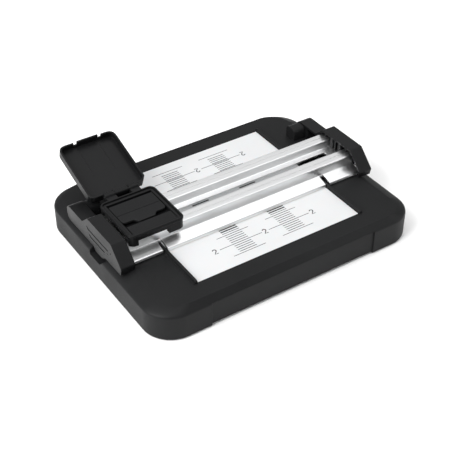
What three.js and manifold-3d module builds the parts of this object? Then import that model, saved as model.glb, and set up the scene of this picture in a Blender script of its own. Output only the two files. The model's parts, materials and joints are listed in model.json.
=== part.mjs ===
// Film cutter with a light panel: a flat lit base, a hinged aluminium rail across it, and a blade
// carriage with a hinged lid that slides along the rail. Millimetres, +Z up.
// The origin is the centre of the footprint on the table, +X runs along the rail and -Y is the front.
import * as THREE from "three";
import { mergeVertices } from "three/addons/utils/BufferGeometryUtils.js";
import Module from "manifold-3d";

const wasm = await Module();
wasm.setup();

// ---- Driving dimensions -------------------------------------------------------------------------

const GAP = 0.15; // between pieces that sit against each other
const WALL = 2.2; // moulded housing wall
const NUDGE = 1; // how far a cutting shape runs past the face it cuts

// Base housing
const BASE_HALF_X = 99.5;
const BASE_HALF_Y = 76;
const BASE_CORNER = 20;
const SKIRT_Z = 1; // the feet lift the skirt off the table
const TOP = 23; // flat working surface above the table
const BEVEL_END = 9; // sloped shoulder at the left and right ends, in plan
const BEVEL_SIDE = 4.1; // the same at the front and back
const BEVEL_CORNER = 16.5;
const RELIEF_HALF = 62.5; // shallow relief in the middle of the front and back walls
const RELIEF_DEPTH = 0.8;
const RELIEF_LIFT = 1.2;
const COVER_Z = 1.3; // bottom cover
const COVER_TOP = 3.4;
const FOOT_R = 6;

// Light panel, seen through the window in the housing
const WINDOW_X = 62.2; // half sizes
const WINDOW_Y = 58.9;
const PANEL_SINK = 0.1; // panel surface below the working surface
const FLANGE = 3; // hidden edge of the panel
const STRIP_HALF = 2.4; // clear strip let into the panel under the blade
const STRIP_DEPTH = 1.3;
const CUT_HALF = 0.5; // groove for the blade tip
const CUT_DEPTH = 0.9;
const GUIDE_IN = 62.4; // film guides beside the window
const GUIDE_OUT = 64.1;
const GUIDE_HEIGHT = 2.2;

// Rail: half sizes, and heights above the working surface
const RAIL_HALF_X = 91;
const SLOT_HALF = 2;
const SLOT_END = 78.6;
const FLOOR_Z = 7;
const SHEET = 1.5;
const RIDGE_IN = 7.4;
const RIDGE_OUT = 16.3;
const RIDGE_Z = 12;
const RIDGE_LINE = 12; // fine groove along the top of each ridge
const FOOT_OUT = 24.6;
const RAIL_CLEAR = 0.95; // room for film under the rail's feet

// End caps of the rail and the hinge
const CAP_IN = 87.4;
const CAP_OUT = 97.4;
const CAP_Z = 16.6;
const PIVOT_Y = 38;
const PIVOT_Z = 4;
const ARM_R = 5.6;
const POST_R = 5;
const POST_IN = 77.8;
const PIN_R = 1.5;
const TAB_FRONT = -3.6; // thumb tab on each end cap
const TAB_REAR = 5.8;
const TAB_Z = -3.7;
const THUMB_Z = -8.2; // floor of the recess under the tab
const MARK_DEPTH = 0.25; // grooves and dots on the outside of each end cap

// Carriage; lengths along the rail are measured from its centre
const CAR_X = -66; // centre at rest, beside the left end cap
const CAR_HALF_X = 19.9;
const CAR_HALF_Y = 20.7;
const CAR_TOP = 18.5;
const CAR_LIP_Z = 16.9; // underside of the lip round the top
const CAR_LIP = 0.4; // how far the lip stands out
const CAR_RIM = 1.4; // width of the raised rim
const CAR_DECK_Z = 17.7; // flat top inside the rim
const CAR_ARCH = 14.2; // opening between the feet
const ARCH_LEFT = -13.8;
const ARCH_RIGHT = 8;
const CAR_FOOT_Z = 10.4;
const CAR_FLOOR_Z = 13.6;
const BAY_Z = 14.6; // floor of the bay round the blade cartridge
const BAY_HALF_X = 16.2;
const BAY_FRONT = -9;
const BAY_REAR = 16.8;
const LEDGE_FRONT = -17; // ledge in front of the bay, marked off by a groove at each end
const KEEL_HALF = 12.8;
const STEM_HALF_X = 7.6;
const STEM_HALF_Y = 1.7;
const BLADE_TIP = 1.2;
const SPRING_X = 9.9;
const SPRING_Z = 8.8;
const BAR_Z = 16.2; // underside of the blade cartridge, which is pressed down 1.5
const BAR_TOP = 17.6;
const BAR_HALF_X = 15.7;
const BAR_FRONT = -4.4;
const BAR_REAR = 14.8;
const BAR_NOSE = 3; // how far the middle of its front edge stands out

// Lid, drawn closed and then turned open about its hinge
const LID_OPEN = 162.3;
const LID_HALF_X = 20.7;
const LID_FRONT = -23.6;
const LID_REAR = 23.5;
const LID_EDGE_Z = 19;
const LID_TOP = 24.6;
const LID_PLATE = 1.2;
const LID_WALL = 1.2;
const LID_CORNER = 5.6;
const LID_PIVOT_Y = 26.2;
const LID_PIVOT_Z = 17.7;
const LID_TAB = [-6.7, 8.7]; // catch tab, between two notches in the free edge
const TAB_PROUD = 0.6;
const NOTCH = 2.5;
const NOTCH_DEPTH = 2.4;
const KNUCKLE_R = 1.9;
const SHELF_Z = 12.6; // shelf behind the carriage that carries the knuckles and stops the open lid
const SHELF_TOP = 14.1;
const KNUCKLES = [
  [-12.4, -5.1],
  [5.2, 11.8],
]; // on the carriage
const LID_KNUCKLE = [-4.8, 4.9];
const LID_PIN_R = 0.8;

// Back wall
const BUTTON_X = 36;
const SOCKET_X = 52;
const PORT_Z = 10.5;
const BUTTON_HALF_X = 5;
const BUTTON_HALF_Z = 2.4;
const SOCKET_HALF_X = 4.5;
const SOCKET_HALF_Z = 1.6;
const BOARD_Z = 7.1;
const BOARD_TOP = 8.7;

// Fixing places
const HOUSING_SCREWS = [-80, 0, 80].flatMap((x) => [-67.2, 67.2].map((y) => [x, y]));
const TRAY_SCREWS = [-72, 72].flatMap((x) => [-45, 48].map((y) => [x, y]));
const FEET = [-86, 86].flatMap((x) => [-52, 52].map((y) => [x, y]));
const CAP_SCREW_X = 89.4;
const CAP_SCREW_Y = 4.2;

// ---- Geometry helpers ---------------------------------------------------------------------------

function solid(geometry) {
  const bare = geometry.index ? geometry.toNonIndexed() : geometry.clone();
  bare.deleteAttribute("normal");
  bare.deleteAttribute("uv");
  const merged = mergeVertices(bare, 1e-4);
  return new wasm.Manifold(
    new wasm.Mesh({
      numProp: 3,
      vertProperties: merged.attributes.position.array,
      triVerts: new Uint32Array(merged.index.array),
    }),
  );
}

function geometryOf(shape) {
  const mesh = shape.getMesh();
  const geometry = new THREE.BufferGeometry();
  geometry.setAttribute("position", new THREE.BufferAttribute(new Float32Array(mesh.vertProperties), 3));
  geometry.setIndex(new THREE.BufferAttribute(new Uint32Array(mesh.triVerts), 1));
  return geometry;
}

function box(x0, x1, y0, y1, z0, z1) {
  const geometry = new THREE.BoxGeometry(x1 - x0, y1 - y0, z1 - z0);
  geometry.translate((x0 + x1) / 2, (y0 + y1) / 2, (z0 + z1) / 2);
  return solid(geometry);
}

// A round bar along one axis from a to b; p and q place it on the other two axes, in XYZ order.
function rod(axis, radius, a, b, p, q, sides = 24) {
  const geometry = new THREE.CylinderGeometry(radius, radius, b - a, sides);
  const middle = (a + b) / 2;
  if (axis === "x") geometry.rotateZ(-Math.PI / 2).translate(middle, p, q);
  if (axis === "y") geometry.translate(p, middle, q);
  if (axis === "z") geometry.rotateX(Math.PI / 2).translate(p, q, middle);
  return solid(geometry);
}

// Outline of a rectangle with round corners, about (x, y).
function roundRect(halfX, halfY, radius, steps = 6, x = 0, y = 0) {
  const points = [];
  for (let corner = 0; corner < 4; corner += 1) {
    const centreX = x + (corner === 0 || corner === 3 ? 1 : -1) * (halfX - radius);
    const centreY = y + (corner < 2 ? 1 : -1) * (halfY - radius);
    for (let i = 0; i <= steps; i += 1) {
      const angle = ((corner + i / steps) * Math.PI) / 2;
      points.push([centreX + radius * Math.cos(angle), centreY + radius * Math.sin(angle)]);
    }
  }
  return points;
}

// An outline with eased corners: each point is [a, b, ease], ease being how far back the curve starts.
function eased(points, steps = 4) {
  const corners = points.map(([a, b]) => new THREE.Vector2(a, b));
  return points.flatMap(([a, b, ease = 0], i) => {
    if (ease === 0) return [[a, b]];
    const toward = (other) => other.clone().sub(corners[i]).setLength(ease).add(corners[i]);
    const start = toward(corners.at(i - 1));
    const end = toward(corners[(i + 1) % corners.length]);
    return new THREE.QuadraticBezierCurve(start, corners[i], end).getPoints(steps).map((p) => [p.x, p.y]);
  });
}

function extrude(points, depth) {
  const shape = new THREE.Shape(points.map(([a, b]) => new THREE.Vector2(a, b)));
  return new THREE.ExtrudeGeometry(shape, { depth, bevelEnabled: false });
}

// An outline in (x, y), raised from z0 to z1.
function extrudeZ(points, z0, z1) {
  return solid(extrude(points, z1 - z0).translate(0, 0, z0));
}

// An outline in (y, z), run from x0 to x1.
function extrudeX(points, x0, x1) {
  const geometry = extrude(points, x1 - x0);
  geometry.rotateZ(Math.PI / 2).rotateY(Math.PI / 2);
  return solid(geometry.translate(x0, 0, 0));
}

// An outline in (x, z), run from y0 to y1.
function extrudeY(points, y0, y1) {
  const geometry = extrude(points, y1 - y0).rotateX(Math.PI / 2);
  return solid(geometry.translate(0, y1, 0));
}

// A solid skinned through rings of points, each ring turning anticlockwise as seen from the last one.
function skin(rings) {
  const count = rings[0].length;
  const faces = [];
  for (let start = 0; start < (rings.length - 1) * count; start += count) {
    for (let i = 0; i < count; i += 1) {
      const a = start + i;
      const b = start + ((i + 1) % count);
      faces.push(a, b, b + count, a, b + count, a + count);
    }
  }
  const last = (rings.length - 1) * count;
  for (let i = 1; i + 1 < count; i += 1) {
    faces.push(0, i + 1, i, last, last + i, last + i + 1);
  }
  const geometry = new THREE.BufferGeometry();
  geometry.setAttribute("position", new THREE.Float32BufferAttribute(rings.flat(2), 3));
  geometry.setIndex(faces);
  return solid(geometry);
}

function coil(radius, wire, bottom, top, turns, x, y) {
  const perTurn = 14;
  const around = 6;
  const rings = [];
  for (let i = 0; i <= turns * perTurn; i += 1) {
    const turn = (2 * Math.PI * i) / perTurn;
    const height = THREE.MathUtils.lerp(bottom + wire, top - wire, i / (turns * perTurn));
    const ring = [];
    for (let j = 0; j < around; j += 1) {
      const angle = (2 * Math.PI * j) / around;
      const reach = radius + wire * Math.sin(angle);
      ring.push([x + reach * Math.cos(turn), y + reach * Math.sin(turn), height + wire * Math.cos(angle)]);
    }
    rings.push(ring);
  }
  return skin(rings);
}

function join(...shapes) {
  return shapes.reduce((sum, shape) => sum.add(shape));
}

function cut(shape, ...tools) {
  return tools.reduce((rest, tool) => rest.subtract(tool), shape);
}

// The same shape on the other side of the X = 0 plane.
function mirrorX(shape) {
  const source = geometryOf(shape).toNonIndexed().getAttribute("position");
  const points = [];
  for (let i = 0; i < source.count; i += 1) {
    const from = i + 2 - 2 * (i % 3); // each triangle is read backwards, so its face still points out
    points.push(-source.getX(from), source.getY(from), source.getZ(from));
  }
  const geometry = new THREE.BufferGeometry();
  return solid(geometry.setAttribute("position", new THREE.Float32BufferAttribute(points, 3)));
}

// ---- Materials and nodes ------------------------------------------------------------------------

function finish(color, roughness, metalness = 0) {
  return new THREE.MeshStandardMaterial({ color, roughness, metalness });
}

const BLACK_PLASTIC = finish(0x212225, 0.55);
const CARRIAGE_PLASTIC = finish(0x18191b, 0.42);
const OPAL_PLASTIC = finish(0xf6f7f8, 0.4);
const CLEAR_PLASTIC = finish(0xdfe6ea, 0.15);
const WHITE_PLASTIC = finish(0xf0f0ee, 0.8);
const ALUMINIUM = finish(0xd6d8da, 0.25, 1);
const STEEL = finish(0xb4b6b8, 0.3, 1);
const RUBBER = finish(0x141414, 0.9);
const CIRCUIT_BOARD = finish(0x1d5a38, 0.6);

const part = new THREE.Group();

function add(name, shape, material) {
  const mesh = new THREE.Mesh(geometryOf(shape), material);
  mesh.name = name;
  part.add(mesh);
}

// ---- Base housing -------------------------------------------------------------------------------

// The outside of the housing moved in by inset (or out, if negative), from bottom to top.
function housing(inset, bottom, top) {
  const ring = (endIn, sideIn, corner, z) => {
    const outline = roundRect(BASE_HALF_X - endIn - inset, BASE_HALF_Y - sideIn - inset, corner - inset, 12);
    return outline.map(([x, y]) => [x, y, z]);
  };
  return skin([
    ring(0.4, 0.4, BASE_CORNER - 0.4, bottom),
    ring(0, 0, BASE_CORNER, bottom + 0.9),
    ring(0, 0, BASE_CORNER, top - 5.4),
    ring(0.3, 0.25, BASE_CORNER - 0.3, top - 4.5),
    ring(1, 0.7, BASE_CORNER - 0.8, top - 3.8),
    ring(2.2, 1.3, BASE_CORNER - 1.4, top - 3.2),
    ring(BEVEL_END, BEVEL_SIDE, BEVEL_CORNER, top),
  ]);
}

// A raised guide for the film's edge, in two lengths so that the blade can pass between them.
function filmGuide() {
  const profile = (front, rear) =>
    eased([
      [front, TOP - NUDGE],
      [front, TOP + GUIDE_HEIGHT, 1.6],
      [rear, TOP + GUIDE_HEIGHT, 1.6],
      [rear, TOP - NUDGE],
    ]);
  const length = WINDOW_Y + 0.9;
  const gap = 3;
  const lengths = [
    [-length, -gap],
    [gap, length],
  ];
  const pieces = lengths.map(([front, rear]) =>
    join(
      extrudeX(profile(front, rear), GUIDE_IN, GUIDE_OUT),
      box(GUIDE_OUT - 0.1, GUIDE_OUT + 0.8, front + 0.4, rear - 0.4, TOP - NUDGE, TOP + 0.6),
    ),
  );
  return join(...pieces);
}

// Solid backing for the recesses at one end of the housing, kept inside its skin.
function endBacking() {
  const thumb = box(90.8, BASE_HALF_X, TAB_FRONT - 9, TAB_REAR + 6.5, TOP + THUMB_Z - 2.4, TOP - NUDGE);
  const pivot = box(CAP_IN - 2, BASE_HALF_X, PIVOT_Y - 9, PIVOT_Y + 9, TOP - 5, TOP - NUDGE);
  const post = box(POST_IN - 2, CAP_IN, PIVOT_Y - 5, PIVOT_Y + 5, TOP - 6, TOP - NUDGE);
  return join(thumb, pivot, post).intersect(housing(0, SKIRT_Z, TOP));
}

// Recesses at one end: for the thumb, for the round end of the arm, and for the hinge post's peg.
function endRecesses() {
  const thumb = eased([
    [TAB_FRONT - 6.4, TOP + NUDGE],
    [TAB_FRONT - 5.8, TOP - 2, 1],
    [TAB_FRONT + 0.4, TOP + THUMB_Z, 1.4],
    [TAB_REAR + 3.8, TOP + THUMB_Z, 1.2],
    [TAB_REAR + 3.8, TOP + NUDGE],
  ]);
  return join(
    extrudeX(thumb, 94.6, BASE_HALF_X + NUDGE),
    rod("x", ARM_R + 0.9, CAP_IN - 0.4, BASE_HALF_X + NUDGE, PIVOT_Y, TOP + PIVOT_Z, 40),
    rod("z", 2, TOP - 4.2, TOP + NUDGE, 83, PIVOT_Y, 16),
    box(WINDOW_X - NUDGE, SLOT_END + 1, -CUT_HALF, CUT_HALF, TOP - CUT_DEPTH, TOP + NUDGE),
  );
}

function reliefCut(side) {
  const face = side * BASE_HALF_Y;
  const shallow = [face - side * RELIEF_DEPTH, face + side * NUDGE].sort((a, b) => a - b);
  const through = [face - side * 2 * WALL, face + side * NUDGE].sort((a, b) => a - b);
  return join(
    box(-RELIEF_HALF, RELIEF_HALF, ...shallow, SKIRT_Z - NUDGE, TOP - 4.3),
    box(-RELIEF_HALF, RELIEF_HALF, ...through, SKIRT_Z - NUDGE, SKIRT_Z + RELIEF_LIFT),
  );
}

function topCover() {
  const backing = endBacking();
  const recesses = endRecesses();
  const guide = filmGuide();
  let cover = housing(0, SKIRT_Z, TOP).subtract(housing(WALL, SKIRT_Z - 2, TOP - WALL));
  cover = join(cover, backing, mirrorX(backing));
  HOUSING_SCREWS.forEach(([x, y]) => {
    cover = cover.add(rod("z", 3.4, COVER_TOP + GAP, TOP - NUDGE, x, y, 20));
    cover = cover.subtract(rod("z", 1.45, COVER_TOP - NUDGE, TOP - 6, x, y, 12));
  });
  TRAY_SCREWS.forEach(([x, y]) => {
    cover = cover.add(rod("z", 2.8, TOP - 7.8 + GAP, TOP - NUDGE, x, y, 16));
    cover = cover.subtract(rod("z", 1.2, TOP - 9, TOP - 3, x, y, 12));
  });
  cover = cut(
    cover,
    box(-WINDOW_X, WINDOW_X, -WINDOW_Y, WINDOW_Y, TOP - 8, TOP + NUDGE),
    recesses,
    mirrorX(recesses),
    reliefCut(-1),
    reliefCut(1),
  );
  const wall = [BASE_HALF_Y - 2 * WALL, BASE_HALF_Y + NUDGE];
  const socket = roundRect(SOCKET_HALF_X + 0.5, SOCKET_HALF_Z + 0.5, 1.8, 4, SOCKET_X, PORT_Z);
  const button = roundRect(BUTTON_HALF_X, BUTTON_HALF_Z, 1.6, 4, BUTTON_X, PORT_Z);
  cover = cut(cover, extrudeY(socket, ...wall), extrudeY(button, ...wall));
  return join(cover, guide, mirrorX(guide));
}

function bottomCover() {
  const inset = WALL + 0.3;
  const outline = roundRect(BASE_HALF_X - inset, BASE_HALF_Y - inset, BASE_CORNER - inset, 8);
  let cover = extrudeZ(outline, COVER_Z, COVER_TOP);
  FEET.forEach(([x, y]) => {
    cover = cover.subtract(rod("z", FOOT_R + GAP, COVER_Z - NUDGE, COVER_Z + 0.5, x, y));
  });
  HOUSING_SCREWS.forEach(([x, y]) => {
    cover = cover.subtract(rod("z", 2.7, COVER_Z - NUDGE, COVER_Z + 1.1, x, y, 20));
    cover = cover.subtract(rod("z", 1.5, COVER_Z, COVER_TOP + NUDGE, x, y, 12));
  });
  BOARD_SCREWS.forEach(([x, y]) => {
    cover = cover.add(rod("z", 2.2, COVER_TOP - 0.2, BOARD_Z - GAP, x, y, 16));
    cover = cover.subtract(rod("z", 1, COVER_TOP + 0.4, BOARD_Z + NUDGE, x, y, 12));
  });
  return cover;
}

// A screw standing head down at (x, y): the head from z0, the thread up to z1.
function screw(x, y, z0, headHeight, z1, headR, threadR) {
  const head = rod("z", headR, z0, z0 + headHeight, x, y, 16);
  const drive = rod("z", headR * 0.4, z0 - NUDGE, z0 + headHeight * 0.55, x, y, 6);
  return cut(join(head, rod("z", threadR, z0 + headHeight - 0.1, z1, x, y, 12)), drive);
}

const BOARD_SCREWS = [
  [26, 66.5],
  [66, 66.5],
];

add("top_cover", topCover(), BLACK_PLASTIC);
add("bottom_cover", bottomCover(), BLACK_PLASTIC);
const CORNER_NAMES = ["left_front", "left_rear", "right_front", "right_rear"];
FEET.forEach(([x, y], i) => {
  add(`foot_${CORNER_NAMES[i]}`, rod("z", FOOT_R, 0, COVER_Z + 0.35, x, y), RUBBER);
});
HOUSING_SCREWS.forEach(([x, y], i) => {
  add(`housing_screw_${i + 1}`, screw(x, y, COVER_Z, 1, COVER_Z + 9, 2.5, 1.25), STEEL);
});

// ---- Light panel --------------------------------------------------------------------------------

function diffuser() {
  const edge = roundRect(WINDOW_X + FLANGE, WINDOW_Y + FLANGE, 2, 3);
  const flange = extrudeZ(edge, TOP - 3.9, TOP - WALL - GAP);
  const face = box(
    -WINDOW_X + GAP,
    WINDOW_X - GAP,
    -WINDOW_Y + GAP,
    WINDOW_Y - GAP,
    TOP - 3,
    TOP - PANEL_SINK,
  );
  const strip = box(
    -WINDOW_X - NUDGE,
    WINDOW_X + NUDGE,
    -STRIP_HALF - GAP,
    STRIP_HALF + GAP,
    TOP - STRIP_DEPTH - GAP,
    TOP + NUDGE,
  );
  return join(flange, face).subtract(strip);
}

function cuttingStrip() {
  const ends = [-WINDOW_X + GAP, WINDOW_X - GAP];
  const strip = box(...ends, -STRIP_HALF, STRIP_HALF, TOP - STRIP_DEPTH, TOP - PANEL_SINK);
  return strip.subtract(box(-WINDOW_X, WINDOW_X, -CUT_HALF, CUT_HALF, TOP - CUT_DEPTH, TOP + NUDGE));
}

function panelTray() {
  const outerX = WINDOW_X + FLANGE + 1.3;
  const outerY = WINDOW_Y + FLANGE + 1.3;
  const body = box(-outerX, outerX, -outerY, outerY, TOP - 9.2, TOP - 4.05);
  const hollow = box(-outerX + 1.6, outerX - 1.6, -outerY + 1.6, outerY - 1.6, TOP - 7.8, TOP);
  let tray = body.subtract(hollow);
  TRAY_SCREWS.forEach(([x, y]) => {
    const ear = roundRect(6.5, 4, 3, 3, x - Math.sign(x) * 2.5, y);
    tray = tray.add(extrudeZ(ear, TOP - 9.2, TOP - 7.8).subtract(hollow));
    tray = tray.subtract(rod("z", 1.3, TOP - 10, TOP - 7, x, y, 12));
  });
  return tray;
}

// A row of light-emitting diodes on a narrow board beside the light guide.
function lightStrip() {
  let strip = box(63.5, 64.5, -57, 57, TOP - 7.4, TOP - 4.2);
  for (let y = -52; y <= 52; y += 8) {
    strip = strip.add(box(62.8, 63.6, y - 1.4, y + 1.4, TOP - 6.8, TOP - 4.8));
  }
  return strip;
}

const lightStripRight = lightStrip();
add("diffuser", diffuser(), OPAL_PLASTIC);
add("cutting_strip", cuttingStrip(), CLEAR_PLASTIC);
add("light_guide", box(-62.4, 62.4, -60, 60, TOP - 7.1, TOP - 4.1), CLEAR_PLASTIC);
add("reflector", box(-62.4, 62.4, -60, 60, TOP - 7.65, TOP - 7.25), WHITE_PLASTIC);
add("light_strip_left", mirrorX(lightStripRight), WHITE_PLASTIC);
add("light_strip_right", lightStripRight, WHITE_PLASTIC);
add("panel_tray", panelTray(), BLACK_PLASTIC);
TRAY_SCREWS.forEach(([x, y], i) => {
  add(`tray_screw_${i + 1}`, screw(x, y, TOP - 10.5, 1.15, TOP - 4, 2.2, 1), STEEL);
});

// ---- Electronics at the back wall ---------------------------------------------------------------

const BOARD_FRONT = 57.5;
const BOARD_REAR = 70.9;
const SWITCH_REAR = 71;

function driverBoard() {
  let board = box(21, 71, BOARD_FRONT, BOARD_REAR, BOARD_Z, BOARD_TOP);
  const chips = [
    [30, 62, 3, 2.5, 1.6],
    [46, 61, 4, 3, 1.2],
    [60, 62, 2.5, 2.5, 3],
  ];
  chips.forEach(([x, y, halfX, halfY, height]) => {
    board = board.add(box(x - halfX, x + halfX, y - halfY, y + halfY, BOARD_TOP - 0.1, BOARD_TOP + height));
  });
  BOARD_SCREWS.forEach(([x, y]) => {
    board = board.subtract(rod("z", 1.1, BOARD_Z - NUDGE, BOARD_TOP + NUDGE, x, y, 12));
  });
  return board;
}

function powerSocket() {
  const outside = roundRect(SOCKET_HALF_X, SOCKET_HALF_Z, 1.5, 4, SOCKET_X, PORT_Z);
  const inside = roundRect(SOCKET_HALF_X - 0.35, SOCKET_HALF_Z - 0.35, 1.2, 4, SOCKET_X, PORT_Z);
  const shell = extrudeY(outside, 67.3, 74.7).subtract(extrudeY(inside, 68.3, 76));
  const tongue = box(SOCKET_X - 3.3, SOCKET_X + 3.3, 68, 73.6, PORT_Z - 0.35, PORT_Z + 0.35);
  return join(shell, tongue);
}

function buttonSwitch() {
  const body = box(BUTTON_X - 3, BUTTON_X + 3, 66.4, 70, BOARD_TOP + GAP, BOARD_TOP + 3.9);
  return body.add(rod("y", 0.9, 69.9, SWITCH_REAR, BUTTON_X, PORT_Z, 12));
}

function powerButton() {
  const cap = roundRect(BUTTON_HALF_X - 0.25, BUTTON_HALF_Z - 0.25, 1.4, 4, BUTTON_X, PORT_Z);
  const flange = roundRect(BUTTON_HALF_X + 1, BUTTON_HALF_Z + 0.9, 1.6, 4, BUTTON_X, PORT_Z);
  return join(extrudeY(cap, 72.5, BASE_HALF_Y), extrudeY(flange, 72.2, 73.4));
}

add("driver_board", driverBoard(), CIRCUIT_BOARD);
BOARD_SCREWS.forEach(([x, y], i) => {
  const head = rod("z", 1.9, BOARD_TOP + GAP, BOARD_TOP + 1.2, x, y, 16);
  add(`board_screw_${i + 1}`, head.add(rod("z", 0.85, COVER_TOP + 0.8, BOARD_TOP + 0.3, x, y, 12)), STEEL);
});
add("power_socket", powerSocket(), STEEL);
add("button_switch", buttonSwitch(), BLACK_PLASTIC);
add("power_button", powerButton(), CARRIAGE_PLASTIC);

// ---- Rail and its end caps ----------------------------------------------------------------------

function rail() {
  const half = [
    [RIDGE_IN - 0.8, FLOOR_Z, 0.6],
    [RIDGE_IN, RIDGE_Z, 0.9],
    [RIDGE_OUT, RIDGE_Z, 1],
    [RIDGE_OUT, 4.9, 0.6],
    [FOOT_OUT - 0.4, 2.6, 0.5],
    [FOOT_OUT, RAIL_CLEAR],
    [FOOT_OUT - 2, RAIL_CLEAR],
    [RIDGE_OUT - SHEET, 3.2],
    [RIDGE_OUT - SHEET, RIDGE_Z - SHEET],
    [RIDGE_IN + SHEET, RIDGE_Z - SHEET],
    [RIDGE_IN + 0.7, FLOOR_Z - SHEET],
  ];
  const mirrored = half.map(([y, z, ease]) => [-y, z, ease]).reverse();
  const profile = eased([...half, ...mirrored]).map(([y, z]) => [y, TOP + z]);
  let bar = extrudeX(profile.reverse(), -RAIL_HALF_X, RAIL_HALF_X);
  const slot = roundRect(SLOT_END + SLOT_HALF, SLOT_HALF, SLOT_HALF - 0.01, 6);
  bar = bar.subtract(extrudeZ(slot, TOP + 4, TOP + 9));
  [-1, 1].forEach((side) => {
    const line = side * RIDGE_LINE;
    const ends = [-RAIL_HALF_X - NUDGE, RAIL_HALF_X + NUDGE];
    bar = bar.subtract(box(...ends, line - 0.2, line + 0.2, TOP + RIDGE_Z - 0.3, TOP + RIDGE_Z + NUDGE));
    // notches let the feet drop over the film guides
    [-1, 1].forEach((end) => {
      const middle = end * (GUIDE_IN + 1.2);
      const notch = roundRect(1.8, 5.2, 1, 3, middle, side * (RIDGE_OUT + 5.3));
      bar = bar.subtract(extrudeZ(notch, TOP, TOP + 6));
      bar = bar.subtract(rod("z", 1.1, TOP + 4, TOP + 8, end * CAP_SCREW_X, side * CAP_SCREW_Y, 12));
    });
  });
  return bar;
}

// The right-hand end cap: a shell over the end of the rail, an arm back to the hinge, a thumb tab.
function endCap() {
  const outline = eased([
    [-27.8, -0.4, 0.6],
    [-29, 4.8, 0.9],
    [-16.8, CAP_Z, 1],
    [13.6, CAP_Z, 1],
    [21.4, PIVOT_Z + ARM_R, 1.2],
    [PIVOT_Y + ARM_R, PIVOT_Z + ARM_R, 5],
    [PIVOT_Y + ARM_R, PIVOT_Z - ARM_R, 5],
    [PIVOT_Y - 4, -1.6],
    [TAB_REAR + 1.8, -1.1, 1],
    [TAB_REAR, TAB_Z, 1],
    [TAB_FRONT, TAB_Z, 1.2],
    [TAB_FRONT - 4.6, -0.6, 1.2],
  ]).map(([y, z]) => [y, TOP + z]);
  const hollow = eased([
    [-26.6, -9],
    [-27.4, 4.4, 0.6],
    [-16.2, CAP_Z - SHEET, 0.7],
    [13.1, CAP_Z - SHEET, 0.7],
    [20.8, PIVOT_Z + ARM_R - SHEET, 0.8],
    [30.5, PIVOT_Z + ARM_R - SHEET],
    [30.5, -9],
  ]).map(([y, z]) => [y, TOP + z]);
  const shell = extrudeX(outline.reverse(), CAP_IN, CAP_OUT);
  const ribs = [
    box(88, 96, -0.6, 0.6, TOP + FLOOR_Z + GAP, TOP + 15.5),
    box(88.4, 96, 10.6, 11.8, TOP + RIDGE_Z + GAP, TOP + 15.5),
    box(88.4, 96, -11.8, -10.6, TOP + RIDGE_Z + GAP, TOP + 15.5),
    rod("z", 1.9, TOP + FLOOR_Z + GAP, TOP + 15.5, CAP_SCREW_X, CAP_SCREW_Y, 16),
    rod("z", 1.9, TOP + FLOOR_Z + GAP, TOP + 15.5, CAP_SCREW_X, -CAP_SCREW_Y, 16),
  ];
  const screwHoles = join(
    rod("z", 1, TOP + FLOOR_Z - NUDGE, TOP + 14, CAP_SCREW_X, CAP_SCREW_Y, 12),
    rod("z", 1, TOP + FLOOR_Z - NUDGE, TOP + 14, CAP_SCREW_X, -CAP_SCREW_Y, 12),
  );
  const open = join(shell.subtract(extrudeX(hollow.reverse(), CAP_IN - NUDGE, CAP_OUT - SHEET)), ...ribs);
  const tabRoom = box(CAP_IN - NUDGE, CAP_OUT - SHEET - 0.2, -40, 30.5, TOP - 12, TOP - 2);
  const marks = capMarks();
  return cut(
    open,
    screwHoles,
    tabRoom,
    marks,
    housing(-0.35, SKIRT_Z - 0.35, TOP + 0.35).subtract(endRecessRoom()),
    rod("x", PIN_R + GAP, CAP_IN - NUDGE, CAP_OUT - SHEET, PIVOT_Y, TOP + PIVOT_Z, 16),
  );
}

// Two shallow grip grooves with slanted ends, and a row of dots in front of them.
function capMarks() {
  const groove = (front, rear, low, high) =>
    eased([
      [front + high - low, TOP + low, 0.5],
      [front, TOP + high, 0.5],
      [rear, TOP + high, 0.5],
      [rear - high + low, TOP + low, 0.5],
    ]).reverse();
  const dots = [0, 1, 2].map((i) =>
    rod("x", 0.5, CAP_OUT - MARK_DEPTH, CAP_OUT + NUDGE, -16 + 4.6 * i, TOP + 8.6 - 3.4 * i, 10),
  );
  return join(
    extrudeX(groove(-14, 16, 7.8, 9.8), CAP_OUT - MARK_DEPTH, CAP_OUT + NUDGE),
    extrudeX(groove(-9, 13, 3.4, 5.2), CAP_OUT - MARK_DEPTH, CAP_OUT + NUDGE),
    ...dots,
  );
}

// Where the end cap may reach below the working surface: the thumb tab and the round end of its arm.
function endRecessRoom() {
  const low = TOP + TAB_Z - NUDGE;
  return join(
    box(CAP_OUT - SHEET - 0.2, CAP_OUT + NUDGE, TAB_FRONT - 5, TAB_REAR + 2.4, low, TOP + NUDGE),
    rod("x", ARM_R + 0.1, CAP_IN - NUDGE, CAP_OUT + NUDGE, PIVOT_Y, TOP + PIVOT_Z, 40),
  );
}

function hingePost() {
  const outline = eased([
    [PIVOT_Y - POST_R, TOP + GAP],
    [PIVOT_Y - POST_R, TOP + PIVOT_Z + POST_R, 4.2],
    [PIVOT_Y + POST_R, TOP + PIVOT_Z + POST_R, 4.2],
    [PIVOT_Y + POST_R, TOP + GAP],
  ]);
  return join(
    extrudeX(outline.reverse(), POST_IN, CAP_IN - 0.4),
    rod("z", 1.8, TOP - 4, TOP + 1, 83, PIVOT_Y, 16),
  ).subtract(rod("x", PIN_R + GAP, POST_IN + 1.5, CAP_IN, PIVOT_Y, TOP + PIVOT_Z, 16));
}

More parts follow.
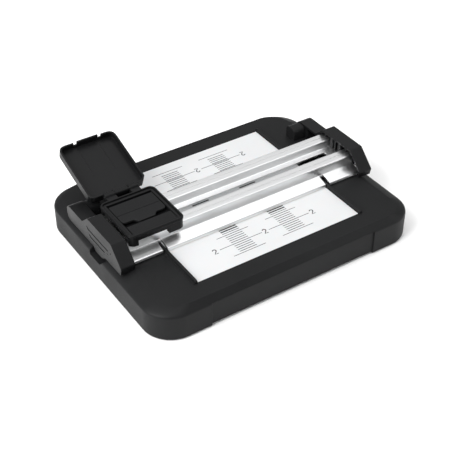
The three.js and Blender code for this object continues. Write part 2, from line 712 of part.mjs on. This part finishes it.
const postRight = hingePost();
const pinRight = rod("x", PIN_R, POST_IN + 1.7, CAP_OUT - SHEET - 0.2, PIVOT_Y, TOP + PIVOT_Z, 16);
const capRight = endCap();
add("hinge_post_left", mirrorX(postRight), BLACK_PLASTIC);
add("hinge_post_right", postRight, BLACK_PLASTIC);
add("hinge_pin_left", mirrorX(pinRight), STEEL);
add("hinge_pin_right", pinRight, STEEL);
add("rail", rail(), ALUMINIUM);
add("end_cap_left", mirrorX(capRight), CARRIAGE_PLASTIC);
add("end_cap_right", capRight, CARRIAGE_PLASTIC);
const CAP_SCREWS = [-1, 1].flatMap((end) => [-1, 1].map((side) => [end * CAP_SCREW_X, side * CAP_SCREW_Y]));
CAP_SCREWS.forEach(([x, y], i) => {
  const under = TOP + FLOOR_Z - SHEET - GAP;
  add(`end_cap_screw_${CORNER_NAMES[i]}`, screw(x, y, under - 1.1, 1.1, TOP + 13, 1.7, 0.85), STEEL);
});
[-1, 1].forEach((side) => {
  const [y0, y1] = side < 0 ? [-FOOT_OUT + 0.1, -FOOT_OUT + 1.9] : [FOOT_OUT - 1.9, FOOT_OUT - 0.1];
  const strip = box(-61, 61, y0, y1, TOP + 0.3, TOP + RAIL_CLEAR - GAP);
  add(side < 0 ? "film_strip_front" : "film_strip_rear", strip, WHITE_PLASTIC);
});

// ---- Blade carriage -----------------------------------------------------------------------------

// A block set out from the middle of the carriage and the working surface.
function carriageBox(x0, x1, y0, y1, z0, z1) {
  return box(CAR_X + x0, CAR_X + x1, y0, y1, TOP + z0, TOP + z1);
}

// The carriage's outline moved in by inset, from z0 to z1.
function carriageBlock(inset, corner, z0, z1) {
  const outline = roundRect(CAR_HALF_X - inset, CAR_HALF_Y - inset, corner, 5, CAR_X, 0);
  return extrudeZ(outline, TOP + z0, TOP + z1);
}

function carriageBody() {
  const side = CAR_HALF_X + NUDGE;
  const shell = join(
    carriageBlock(CAR_LIP, 4, CAR_FOOT_Z, CAR_LIP_Z + NUDGE),
    carriageBlock(0, 4.4, CAR_LIP_Z, CAR_TOP - 0.5),
    carriageBlock(0.4, 4, CAR_TOP - NUDGE, CAR_TOP),
  );
  const hollows = [
    carriageBox(-side, side, -RIDGE_OUT - 0.5, RIDGE_OUT + 0.5, 0, CAR_FLOOR_Z),
    carriageBox(ARCH_LEFT, ARCH_RIGHT, -CAR_HALF_Y - NUDGE, CAR_HALF_Y + NUDGE, 0, CAR_ARCH),
    carriageBlock(CAR_RIM, 2.8, CAR_DECK_Z, CAR_TOP + NUDGE),
    carriageBlock(CAR_RIM, 2.8, CAR_DECK_Z - 0.4, CAR_TOP).subtract(
      carriageBlock(CAR_RIM + 0.4, 2.4, 0, CAR_TOP + NUDGE),
    ),
    carriageBox(-BAY_HALF_X, BAY_HALF_X, BAY_FRONT, BAY_REAR, BAY_Z, CAR_TOP + NUDGE),
    carriageBox(-BAY_HALF_X, -BAY_HALF_X + 0.5, LEDGE_FRONT, BAY_FRONT + NUDGE, BAY_Z + 1, CAR_TOP),
    carriageBox(BAY_HALF_X - 0.5, BAY_HALF_X, LEDGE_FRONT, BAY_FRONT + NUDGE, BAY_Z + 1, CAR_TOP),
  ];
  // a keel runs in the rail's channel, necks through the slot and spreads below it
  const keel = [
    carriageBox(-KEEL_HALF, KEEL_HALF, -5.9, 5.9, FLOOR_Z + 0.4, BAY_Z - 0.1),
    carriageBox(-KEEL_HALF, KEEL_HALF, -STEM_HALF_Y, STEM_HALF_Y, 4.6, FLOOR_Z + 1),
    carriageBox(-KEEL_HALF, KEEL_HALF, -3.8, 3.8, 3.8, FLOOR_Z - SHEET - 0.3),
  ];
  const stemRoom = [STEM_HALF_X + 0.4, STEM_HALF_Y + 0.4];
  const rooms = [
    carriageBox(-stemRoom[0], stemRoom[0], -stemRoom[1], stemRoom[1], 0, CAR_TOP),
    ...[-SPRING_X, SPRING_X].map((x) => rod("z", 2.3, TOP + SPRING_Z, TOP + CAR_TOP, CAR_X + x, 0, 20)),
    rod("x", LID_PIN_R + GAP, CAR_X - 20, CAR_X + 20, LID_PIVOT_Y, TOP + LID_PIVOT_Z, 12),
  ];
  const shelfEnds = [KNUCKLES[0][0], KNUCKLES[1][1]];
  const hinge = [
    ...KNUCKLES.map(([x0, x1]) => lidKnuckle(x0, x1)),
    carriageBox(...shelfEnds, CAR_HALF_Y - NUDGE, LID_PIVOT_Y + 0.8, SHELF_Z, SHELF_TOP),
  ];
  return cut(join(cut(shell, ...hollows), ...keel, ...hinge), ...rooms);
}

// One of the carriage's hinge knuckles, on a bracket standing out behind it.
function lidKnuckle(x0, x1) {
  return join(
    rod("x", KNUCKLE_R, CAR_X + x0, CAR_X + x1, LID_PIVOT_Y, TOP + LID_PIVOT_Z, 20),
    carriageBox(x0, x1, CAR_HALF_Y - NUDGE, LID_PIVOT_Y, SHELF_Z, LID_PIVOT_Z + 0.3),
  );
}

// The lid is a shallow tray with a catch tab in its free edge; closed, it covers the carriage's rim.
function lidClosed() {
  const tray = (inset, z0, z1) => {
    const outline = eased(
      [
        [LID_HALF_X - inset, LID_FRONT + inset, LID_CORNER - inset],
        [LID_HALF_X - inset, LID_REAR - 3.4, 0.8],
        [LID_HALF_X - 3 - inset * 0.4, LID_REAR - inset, 0.8],
        [-LID_HALF_X + inset, LID_REAR - inset, 4 - inset],
        [-LID_HALF_X + inset, LID_FRONT + inset, LID_CORNER - inset],
      ],
      6,
    );
    const placed = outline.map(([x, y]) => [CAR_X + x, y]);
    return extrudeZ(placed, TOP + z0, TOP + z1);
  };
  const inside = LID_TOP - LID_PLATE;
  const shell = join(
    tray(0, LID_EDGE_Z, LID_TOP - 0.3),
    tray(0.3, LID_TOP - NUDGE, LID_TOP),
  ).subtract(tray(LID_WALL, LID_EDGE_Z - NUDGE, inside));
  const notch = (x0) =>
    carriageBox(
      x0,
      x0 + NOTCH,
      LID_FRONT - NUDGE,
      LID_FRONT + LID_WALL + NUDGE,
      LID_EDGE_Z - NUDGE,
      LID_EDGE_Z + NOTCH_DEPTH,
    );
  const tab = carriageBox(
    ...LID_TAB,
    LID_FRONT,
    LID_FRONT + LID_WALL,
    LID_EDGE_Z - TAB_PROUD,
    LID_EDGE_Z + NOTCH_DEPTH,
  );
  const ribs = LID_TAB.map((x) =>
    carriageBox(x - 1, x - 0.4, LID_FRONT + LID_WALL - 0.1, 4, inside - 0.15, inside + 0.1),
  );
  const arm = carriageBox(
    ...LID_KNUCKLE,
    LID_REAR - LID_WALL,
    LID_PIVOT_Y + KNUCKLE_R - 0.4,
    LID_PIVOT_Z,
    LID_EDGE_Z + 1.6,
  );
  const ends = LID_KNUCKLE.map((x) => CAR_X + x);
  const barrel = rod("x", KNUCKLE_R - 0.4, ...ends, LID_PIVOT_Y, TOP + LID_PIVOT_Z, 20);
  return cut(
    join(cut(shell, notch(LID_TAB[0] - NOTCH), notch(LID_TAB[1])), tab, ...ribs, arm, barrel),
    rod("x", LID_PIN_R + GAP, CAR_X - 20, CAR_X + 20, LID_PIVOT_Y, TOP + LID_PIVOT_Z, 12),
  );
}

function lidOpen() {
  const geometry = geometryOf(lidClosed()).translate(0, -LID_PIVOT_Y, -TOP - LID_PIVOT_Z);
  geometry.rotateX(-THREE.MathUtils.degToRad(LID_OPEN));
  return solid(geometry.translate(0, LID_PIVOT_Y, TOP + LID_PIVOT_Z));
}

// The bar that holds the blade; its stem goes down through the keel and the slot.
function bladeCartridge() {
  const outline = eased([
    [BAR_HALF_X, BAR_REAR, 0.6],
    [-BAR_HALF_X, BAR_REAR, 0.6],
    [-BAR_HALF_X, BAR_FRONT, 3],
    [-8, BAR_FRONT, 0.8],
    [-5.6, BAR_FRONT - BAR_NOSE, 0.8],
    [5.6, BAR_FRONT - BAR_NOSE, 0.8],
    [8, BAR_FRONT, 0.8],
    [BAR_HALF_X, BAR_FRONT, 3],
  ]).map(([x, y]) => [CAR_X + x, y]);
  const bar = join(
    extrudeZ(outline, TOP + BAR_Z, TOP + BAR_TOP),
    carriageBox(-STEM_HALF_X, STEM_HALF_X, -STEM_HALF_Y, STEM_HALF_Y, 4.6, BAR_Z + 0.2),
  );
  return cut(
    bar,
    carriageBox(-BAR_HALF_X - NUDGE, BAR_HALF_X + NUDGE, 3.6, 3.9, BAR_TOP - 0.4, BAR_TOP + NUDGE),
    carriageBox(-6.8, 6.8, -0.4, 0.4, 3, 12.4),
  );
}

function blade() {
  const outline = [
    [-6.5, 12],
    [-6.5, 5],
    [0, BLADE_TIP],
    [6.5, 5],
    [6.5, 12],
  ].map(([x, z]) => [CAR_X + x, TOP + z]);
  return extrudeY(outline, -0.22, 0.22);
}

add("carriage_body", carriageBody(), CARRIAGE_PLASTIC);
add("lid", lidOpen(), CARRIAGE_PLASTIC);
const PIN_ENDS = [CAR_X + KNUCKLES[0][0] + 0.3, CAR_X + KNUCKLES[1][1] - 0.3];
add("lid_pin", rod("x", LID_PIN_R, ...PIN_ENDS, LID_PIVOT_Y, TOP + LID_PIVOT_Z, 12), STEEL);
add("blade_cartridge", bladeCartridge(), BLACK_PLASTIC);
add("blade", blade(), STEEL);
[-1, 1].forEach((side) => {
  const spring = coil(1.7, 0.25, TOP + SPRING_Z + GAP, TOP + BAR_Z - GAP, 5, CAR_X + side * SPRING_X, 0);
  add(side < 0 ? "press_spring_left" : "press_spring_right", spring, STEEL);
  const [y0, y1] = side < 0 ? [-15.2, -8.6] : [8.6, 15.2];
  const glide = carriageBox(-17.5, 17.5, y0, y1, RIDGE_Z + GAP, CAR_FLOOR_Z - GAP);
  add(side < 0 ? "glide_front" : "glide_rear", glide, WHITE_PLASTIC);
});

export default part;
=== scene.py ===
"""Looks for a film cutter with a light panel: materials, printed marks, lights and camera."""

import json
import math

import bmesh
import bpy
from mathutils import Matrix, Quaternion, Vector


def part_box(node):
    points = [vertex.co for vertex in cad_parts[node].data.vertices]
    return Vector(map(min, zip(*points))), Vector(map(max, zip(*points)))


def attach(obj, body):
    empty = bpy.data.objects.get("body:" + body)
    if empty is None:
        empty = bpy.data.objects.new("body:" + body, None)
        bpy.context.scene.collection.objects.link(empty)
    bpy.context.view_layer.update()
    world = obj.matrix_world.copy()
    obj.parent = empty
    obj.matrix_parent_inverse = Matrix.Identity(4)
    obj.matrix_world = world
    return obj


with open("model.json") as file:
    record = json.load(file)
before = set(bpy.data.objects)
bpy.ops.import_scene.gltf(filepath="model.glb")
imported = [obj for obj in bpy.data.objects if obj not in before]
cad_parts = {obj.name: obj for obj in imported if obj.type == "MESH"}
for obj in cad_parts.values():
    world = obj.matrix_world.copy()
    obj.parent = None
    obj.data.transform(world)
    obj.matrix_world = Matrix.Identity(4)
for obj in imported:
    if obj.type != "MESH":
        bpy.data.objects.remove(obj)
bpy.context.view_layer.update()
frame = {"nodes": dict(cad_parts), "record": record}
nodes = frame["nodes"]

MM = 0.001

# ---- Camera -------------------------------------------------------------------------------------

CAMERA_PLACE = Vector((-0.3036, -0.4552, 0.4297))
CAMERA_TARGET = Vector((-0.0176, -0.0261, 0.0230))
CAMERA_ROLL = math.radians(0.23)
CAMERA_LENS = 80.58  # mm, on a 36 mm sensor


def make_camera():
    data = bpy.data.cameras.new("camera")
    data.lens = CAMERA_LENS
    data.sensor_width = 36
    data.clip_start = 0.01
    data.clip_end = 20
    camera = bpy.data.objects.new("camera", data)
    camera.location = CAMERA_PLACE
    aim = (CAMERA_TARGET - CAMERA_PLACE).to_track_quat("-Z", "Y")
    camera.rotation_mode = "QUATERNION"
    camera.rotation_quaternion = aim @ Quaternion((0, 0, 1), CAMERA_ROLL)
    bpy.context.scene.collection.objects.link(camera)
    bpy.context.scene.camera = camera


# ---- Materials ----------------------------------------------------------------------------------


class Paint:
    """A Principled material with a few helpers for its texture nodes."""

    def __init__(self, name, **uniform):
        self.material = bpy.data.materials.new(name)
        self.material.use_nodes = True
        self.tree = self.material.node_tree
        self.shader = self.tree.nodes["Principled BSDF"]
        for socket, value in uniform.items():
            self.shader.inputs[socket.replace("_", " ")].default_value = value
        self.place = self.node("ShaderNodeTexCoord").outputs["Object"]

    def node(self, kind, **settings):
        node = self.tree.nodes.new(kind)
        for name, value in settings.items():
            setattr(node, name, value)
        return node

    def link(self, source, target):
        self.tree.links.new(source, target)

    def noise(self, scale, stretch=(1, 1, 1), detail=3.0, roughness=0.5):
        """About `scale` blotches to the metre, longer along the axes with a low stretch."""
        mapping = self.node("ShaderNodeMapping")
        mapping.inputs["Scale"].default_value = stretch
        self.link(self.place, mapping.inputs["Vector"])
        noise = self.node("ShaderNodeTexNoise")
        noise.inputs["Scale"].default_value = scale
        noise.inputs["Detail"].default_value = detail
        noise.inputs["Roughness"].default_value = roughness
        self.link(mapping.outputs["Vector"], noise.inputs["Vector"])
        return noise.outputs["Fac"]

    def remap(self, value, low, high, start=0.3, end=0.7):
        span = self.node("ShaderNodeMapRange")
        for socket, number in zip(("From Min", "From Max", "To Min", "To Max"), (start, end, low, high)):
            span.inputs[socket].default_value = number
        self.link(value, span.inputs["Value"])
        return span.outputs["Result"]

    def mix(self, factor, first, second):
        mix = self.node("ShaderNodeMix", data_type="RGBA")
        self.link(factor, mix.inputs["Factor"])
        mix.inputs["A"].default_value = (*first, 1)
        mix.inputs["B"].default_value = (*second, 1)
        return mix.outputs["Result"]

    def colour(self, factor, first, second):
        self.link(self.mix(factor, first, second), self.shader.inputs["Base Color"])

    def rough(self, factor, low, high):
        self.link(self.remap(factor, low, high), self.shader.inputs["Roughness"])

    def soft_edges(self, radius):
        """The normal of a surface whose edges are rounded by a radius in metres."""
        bevel = self.node("ShaderNodeBevel", samples=4)
        bevel.inputs["Radius"].default_value = radius
        return bevel.outputs["Normal"]

    def bump(self, *layers, start=None):
        """Each layer is (height, distance in metres, strength); later layers ride on earlier ones."""
        normal = start
        for height, distance, strength in layers:
            bump = self.node("ShaderNodeBump")
            bump.inputs["Distance"].default_value = distance
            bump.inputs["Strength"].default_value = strength
            self.link(height, bump.inputs["Height"])
            if normal:
                self.link(normal, bump.inputs["Normal"])
            normal = bump.outputs["Normal"]
        self.link(normal, self.shader.inputs["Normal"])


def moulded_plastic(name, dark, light, roughness, gloss, grain, depth):
    """Injection-moulded plastic: spark-textured, with faint flow marks and uneven gloss."""
    paint = Paint(name, Specular_IOR_Level=gloss)
    texture = paint.noise(grain, detail=2.0, roughness=0.65)
    flow = paint.noise(22, stretch=(1, 1.6, 1), detail=4.0)
    paint.colour(paint.remap(flow, 0, 1), dark, light)
    paint.rough(flow, roughness - 0.06, roughness + 0.08)
    paint.bump((texture, depth, 0.55), (flow, 0.00004, 0.2), start=paint.soft_edges(0.00045))
    return paint.material


def polished_aluminium():
    """A drawn and polished extrusion: fine lines and gloss streaks along X."""
    paint = Paint("polished_aluminium", Metallic=1.0)
    streaks = paint.noise(300, stretch=(0.004, 1, 1), detail=3.0)
    lines = paint.noise(9000, stretch=(0.002, 1, 1), detail=1.0)
    paint.colour(paint.remap(streaks, 0, 1), (0.86, 0.865, 0.87), (0.92, 0.925, 0.93))
    paint.rough(streaks, 0.27, 0.33)
    paint.bump((lines, 0.00003, 0.3), start=paint.soft_edges(0.0003))
    return paint.material


def opal_panel():
    """Milky diffuser, lit from below, with the faintest mottling."""
    paint = Paint(
        "opal_panel",
        Roughness=0.32,
        Emission_Color=(0.975, 0.988, 1.0, 1),
        Emission_Strength=0.29,
        Subsurface_Weight=0.15,
        Subsurface_Scale=0.002,
    )
    mottle = paint.noise(35, detail=5.0)
    paint.colour(paint.remap(mottle, 0, 1), (0.352, 0.355, 0.358), (0.372, 0.375, 0.378))
    paint.bump((paint.noise(3000), 0.00002, 0.15))
    return paint.material


def clear_strip():
    paint = Paint("clear_strip", IOR=1.49, Transmission_Weight=0.45, Specular_IOR_Level=0.5)
    haze = paint.noise(400, stretch=(0.05, 1, 1))
    paint.colour(paint.remap(haze, 0, 1), (0.84, 0.87, 0.89), (0.93, 0.94, 0.95))
    paint.rough(haze, 0.16, 0.34)
    return paint.material


def clear_acrylic():
    paint = Paint("clear_acrylic", IOR=1.49, Transmission_Weight=0.7)
    dots = paint.noise(900, detail=0.0)
    paint.colour(paint.remap(dots, 0, 1), (0.86, 0.89, 0.91), (0.95, 0.96, 0.97))
    paint.rough(dots, 0.05, 0.2)
    return paint.material


def white_plastic():
    paint = Paint("white_plastic")
    mottle = paint.noise(60, detail=4.0)
    paint.colour(paint.remap(mottle, 0, 1), (0.74, 0.74, 0.71), (0.84, 0.84, 0.82))
    paint.rough(mottle, 0.42, 0.55)
    paint.bump((paint.noise(2500), 0.00003, 0.3))
    return paint.material


def bright_steel():
    paint = Paint("bright_steel", Metallic=1.0)
    turned = paint.noise(1500, stretch=(1, 1, 0.15), detail=3.0)
    paint.colour(paint.remap(turned, 0, 1), (0.50, 0.51, 0.52), (0.66, 0.66, 0.67))
    paint.rough(turned, 0.22, 0.4)
    paint.bump((turned, 0.00002, 0.3))
    return paint.material


def soft_rubber():
    paint = Paint("soft_rubber", Specular_IOR_Level=0.25)
    grit = paint.noise(1800, detail=3.0)
    paint.colour(paint.remap(grit, 0, 1), (0.012, 0.012, 0.012), (0.024, 0.024, 0.023))
    paint.rough(grit, 0.75, 0.92)
    paint.bump((grit, 0.00008, 0.5))
    return paint.material


def circuit_board():
    paint = Paint("circuit_board", Specular_IOR_Level=0.4)
    tracks = paint.noise(420, stretch=(1, 0.25, 1), detail=0.0)
    paint.colour(paint.remap(tracks, 0, 1, 0.48, 0.52), (0.008, 0.055, 0.025), (0.016, 0.11, 0.05))
    paint.rough(tracks, 0.3, 0.4)
    paint.bump((tracks, 0.00003, 0.4))
    return paint.material


def printed_ink():
    paint = Paint("printed_ink", Specular_IOR_Level=0.3)
    grain = paint.noise(4000, detail=2.0)
    paint.colour(paint.remap(grain, 0, 1), (0.010, 0.010, 0.012), (0.022, 0.022, 0.024))
    paint.rough(grain, 0.45, 0.6)
    return paint.material


DEEP_BLACK = (0.0045, 0.0046, 0.0049)
BLACK = (0.0063, 0.0065, 0.0069)
SOFT_BLACK = (0.0096, 0.0099, 0.0103)

MATERIALS = {
    "housing": moulded_plastic("housing_plastic", BLACK, SOFT_BLACK, 0.5, 0.15, 2100, 0.0001),
    "carriage_plastic": moulded_plastic("satin_plastic", DEEP_BLACK, BLACK, 0.36, 0.16, 2800, 0.00005),
    "opal": opal_panel(),
    "clear_plastic": clear_acrylic(),
    "white_plastic": white_plastic(),
    "rubber": soft_rubber(),
    "aluminium": polished_aluminium(),
    "steel": bright_steel(),
    "circuit_board": circuit_board(),
}
SPECIAL = {"cutting_strip": clear_strip()}


# ---- Edges --------------------------------------------------------------------------------------

CRISP_ANGLE = math.radians(34)  # edges that turn further than this are real edges
FLAT_ANGLE = math.radians(0.4)  # faces that turn less than this are one flat face
WELD_DISTANCE = 1e-6


def smooth_by_angle():
    """A node group that shades faces smooth and keeps the real edges crisp."""
    group = bpy.data.node_groups.new("smooth_by_angle", "GeometryNodeTree")
    group.interface.new_socket("Geometry", in_out="INPUT", socket_type="NodeSocketGeometry")
    group.interface.new_socket("Geometry", in_out="OUTPUT", socket_type="NodeSocketGeometry")
    start = group.nodes.new("NodeGroupInput")
    end = group.nodes.new("NodeGroupOutput")
    faces = group.nodes.new("GeometryNodeSetShadeSmooth")
    edges = group.nodes.new("GeometryNodeSetShadeSmooth")
    edges.domain = "EDGE"
    edges.inputs["Shade Smooth"].default_value = False
    angle = group.nodes.new("GeometryNodeInputMeshEdgeAngle")
    compare = group.nodes.new("FunctionNodeCompare")
    compare.operation = "GREATER_THAN"
    compare.inputs[1].default_value = CRISP_ANGLE
    group.links.new(start.outputs[0], faces.inputs["Geometry"])
    group.links.new(faces.outputs[0], edges.inputs["Geometry"])
    group.links.new(angle.outputs["Unsigned Angle"], compare.inputs[0])
    group.links.new(compare.outputs[0], edges.inputs["Selection"])
    group.links.new(edges.outputs[0], end.inputs[0])
    return group


SMOOTH = smooth_by_angle()


def ease_edges(piece, width, merge):
    """Rounds the crisp edges of a faceted solid and smooths what is meant to be round."""
    weld = piece.modifiers.new("weld", "WELD")
    weld.merge_threshold = WELD_DISTANCE
    if merge:
        flat = piece.modifiers.new("flat", "DECIMATE")
        flat.decimate_type = "DISSOLVE"
        flat.angle_limit = FLAT_ANGLE
    if width > 0:
        bevel = piece.modifiers.new("bevel", "BEVEL")
        bevel.width = width
        bevel.segments = 2
        bevel.limit_method = "ANGLE"
        bevel.angle_limit = CRISP_ANGLE
        bevel.miter_outer = "MITER_ARC"
    smooth = piece.modifiers.new("smooth", "NODES")
    smooth.node_group = SMOOTH
    normals = piece.modifiers.new("normals", "WEIGHTED_NORMAL")
    normals.keep_sharp = True


EDGE_WIDTH = {  # mm
    "top_cover": 0.35,
    "end_cap_left": 0.4,
    "end_cap_right": 0.4,
    "carriage_body": 0.3,
    "lid": 0.3,
    "blade_cartridge": 0.2,
    "rail": 0.15,
    "hinge_post_left": 0.3,
    "hinge_post_right": 0.3,
    "power_button": 0.25,
    "diffuser": 0.1,
}

KEEP_TRIANGLES = {"top_cover"}  # its flat top has too many openings to be one face


def dress_nodes():
    slots = {row["node"]: row["material_slot"] for row in frame["record"]["subparts"]}
    for name, node in nodes.items():
        node.data.materials.clear()
        node.data.materials.append(SPECIAL.get(name) or MATERIALS[slots[name]])
        ease_edges(node, EDGE_WIDTH.get(name, 0) * MM, merge=name not in KEEP_TRIANGLES)


# ---- Printed marks on the panel -----------------------------------------------------------------

# Places and sizes are in millimetres, from the middle of the panel.

PANEL_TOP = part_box("diffuser")[1].z
INK = 0.03 * MM
STACKS = (-17.9, 19.5)  # x of the two stacks of short lines
STACK_REACH = 48.5  # y of the outermost short line
STRIP_GAP = 2.6  # y of the clear strip's edge, where the short lines stop
SHORT_STEP = 2
SHORT_HALF = 6.4
SHORT_WIDTH = 0.5
PAINTED_SHADE_TICK_WIDTH = 1.1  # of the short lines under the rail: ink widened as painted shade and reflection from the rail's foot edge
PAINTED_SHADE_REACH = 27
LONG_LINES = (30.5, 50.5)
LONG_HALF = 12
LONG_WIDTH = 0.4
NUMBER_LINE = 40.5  # y of the long line that carries the numerals
NUMBER_HALF = 16
NUMBERS = (-37.5, 0.4, 38)
DIGIT_HEIGHT = 4.2
DIGIT_STROKE = 0.65


def add_slab(mesh, x0, x1, y0, y1):
    """A thin slab of ink on the panel, between two corners given in millimetres."""
    low = Vector((min(x0, x1) * MM, min(y0, y1) * MM, PANEL_TOP))
    high = Vector((max(x0, x1) * MM, max(y0, y1) * MM, PANEL_TOP + INK))
    matrix = Matrix.Translation((low + high) / 2) @ Matrix.Diagonal((*(high - low), 1))
    bmesh.ops.create_cube(mesh, size=1, matrix=matrix)


def add_line(mesh, middle, half, y, width):
    add_slab(mesh, middle - half, middle + half, y - width / 2, y + width / 2)


def digit_two(steps=10):
    """The middle line of a numeral 2, one unit tall, about its own centre."""
    radius = 0.27
    start = 165
    sweep = 205
    bowl = []
    for i in range(steps + 1):
        angle = math.radians(start - i * sweep / steps)
        bowl.append((radius * math.cos(angle), 0.5 - radius + radius * math.sin(angle)))
    return bowl + [(-0.29, -0.5), (0.31, -0.5)]


def add_stroke(mesh, points, width):
    """A flat ribbon of ink that follows points given in millimetres."""
    sides = []
    for i, point in enumerate(points):
        before = Vector(points[max(i - 1, 0)])
        after = Vector(points[min(i + 1, len(points) - 1)])
        along = (after - before).normalized()
        across = Vector((-along.y, along.x)) * width / 2
        sides.append((Vector(point) + across, Vector(point) - across))
    rows = []
    for left, right in sides:
        corners = [(left, 0), (right, 0), (right, INK), (left, INK)]
        rows.append([mesh.verts.new((p.x * MM, p.y * MM, PANEL_TOP + z)) for p, z in corners])
    for first, second in zip(rows, rows[1:]):
        for k in range(4):
            mesh.faces.new((first[k], first[(k + 1) % 4], second[(k + 1) % 4], second[k]))
    mesh.faces.new(rows[0][::-1])
    mesh.faces.new(rows[-1])


def add_digit(mesh, x, y, turned):
    flip = -1 if turned else 1
    points = [(x + flip * a * DIGIT_HEIGHT, y + flip * b * DIGIT_HEIGHT) for a, b in digit_two()]
    add_stroke(mesh, points, DIGIT_STROKE)


def piece_from(name, mesh, material, body):
    data = bpy.data.meshes.new(name)
    bmesh.ops.recalc_face_normals(mesh, faces=mesh.faces)
    mesh.to_mesh(data)
    mesh.free()
    piece = bpy.data.objects.new(name, data)
    bpy.context.scene.collection.objects.link(piece)
    data.materials.append(material)
    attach(piece, body)
    return piece


def print_ruler(ink):
    mesh = bmesh.new()
    for middle in STACKS:
        count = round(2 * STACK_REACH / SHORT_STEP)
        for i in range(count + 1):
            y = -STACK_REACH + i * SHORT_STEP
            if abs(y) > STRIP_GAP:
                # the extra width near the rail is painted shade and reflection of the rail's foot, not
                # bolder print
                width = PAINTED_SHADE_TICK_WIDTH if abs(y) < PAINTED_SHADE_REACH else SHORT_WIDTH
                add_line(mesh, middle, SHORT_HALF, y, width)
        for side in (-1, 1):
            for y in LONG_LINES:
                add_line(mesh, middle, LONG_HALF, side * y, LONG_WIDTH)
            add_line(mesh, middle, NUMBER_HALF, side * NUMBER_LINE, LONG_WIDTH)
    for x in NUMBERS:
        add_digit(mesh, x, -NUMBER_LINE, False)
        add_digit(mesh, x, NUMBER_LINE, True)
    piece_from("ruler_print", mesh, ink, "base")


# ---- Stage --------------------------------------------------------------------------------------


LIT_POINT = Vector((0, 0, 0.02))
SOFTBOXES = {  # place and size in metres, power in watts
    "top_softbox": ((-0.1, -0.1, 1.2), (2.2, 2.2), 20),
    "left_softbox": ((-1.15, -0.1, 0.85), (0.9, 1.1), 26),
    "back_softbox": ((0.75, 1.1, 1.0), (1.2, 0.8), 1.6),
    "right_softbox": ((1.2, -0.7, 0.5), (0.6, 0.6), 4),
}
AMBIENT = 0.3
FLOOR_HALF = 4


def add_softbox(name, place, size, power):
    data = bpy.data.lights.new(name, "AREA")
    data.shape = "RECTANGLE"
    data.size, data.size_y = size
    data.energy = power
    light = bpy.data.objects.new(name, data)
    light.location = place
    light.rotation_mode = "QUATERNION"
    light.rotation_quaternion = (LIT_POINT - Vector(place)).to_track_quat("-Z", "Y")
    bpy.context.scene.collection.objects.link(light)


def make_stage():
    paint = Paint("pale_floor", Roughness=0.8, Specular_IOR_Level=0.1)
    paint.colour(paint.remap(paint.noise(6), 0, 1), (0.90, 0.90, 0.90), (0.93, 0.93, 0.93))
    mesh = bmesh.new()
    bmesh.ops.create_grid(mesh, x_segments=1, y_segments=1, size=FLOOR_HALF)
    data = bpy.data.meshes.new("floor")
    mesh.to_mesh(data)
    mesh.free()
    data.materials.append(paint.material)
    floor = bpy.data.objects.new("floor", data)
    bpy.context.scene.collection.objects.link(floor)

    world = bpy.data.worlds.new("world")
    world.use_nodes = True
    background = world.node_tree.nodes["Background"]
    background.inputs["Color"].default_value = (1, 1, 1, 1)
    background.inputs["Strength"].default_value = AMBIENT
    bpy.context.scene.world = world

    for name, (place, size, power) in SOFTBOXES.items():
        add_softbox(name, place, size, power)
    bpy.context.scene.view_settings.view_transform = "Standard"


make_camera()
dress_nodes()
print_ruler(printed_ink())
make_stage()
